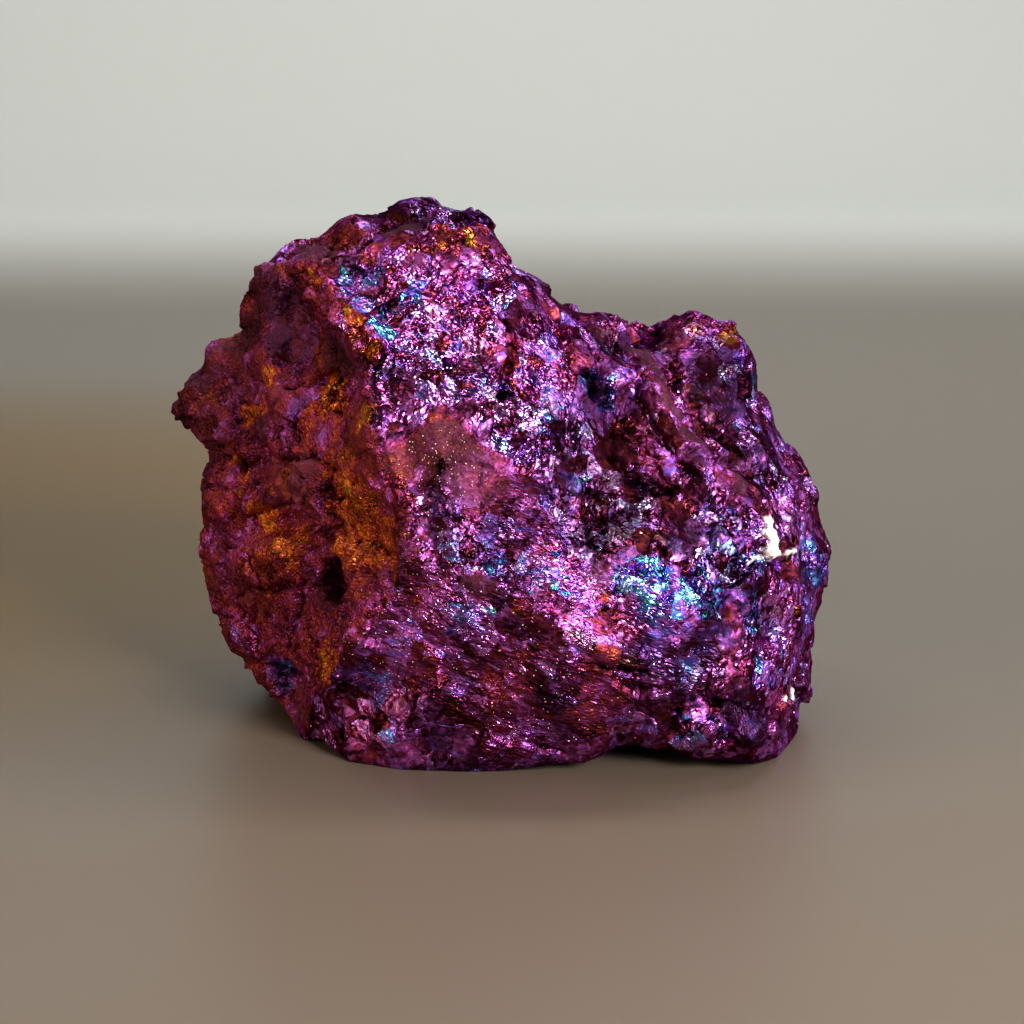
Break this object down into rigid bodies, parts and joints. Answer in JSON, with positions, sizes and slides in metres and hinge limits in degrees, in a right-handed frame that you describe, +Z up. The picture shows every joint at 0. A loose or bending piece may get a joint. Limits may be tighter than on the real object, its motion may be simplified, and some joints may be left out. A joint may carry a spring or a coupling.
{
  "type": "peacock ore specimen",
  "caption": "Loose lump of tarnished copper ore with fractured, iridescent faces, resting on its own uneven base; a mineral display specimen.",
  "frame": {"origin": "middle of the bounding box, on the level of the feet that the lump rests on", "axes": "+X runs from the snout side to the horn side, along the longest extent; -Y is the front, the side with the bright broken face; +Z is up"},
  "size_m": [0.08, 0.0568, 0.0604],
  "materials": {
    "tarnished_ore": "rough broken sulphide ore with a glittering purple, magenta, blue and orange-gold tarnish"
  },
  "bodies": {
    "root": {"ore": "tarnished_ore"}
  },
  "joints": []
}
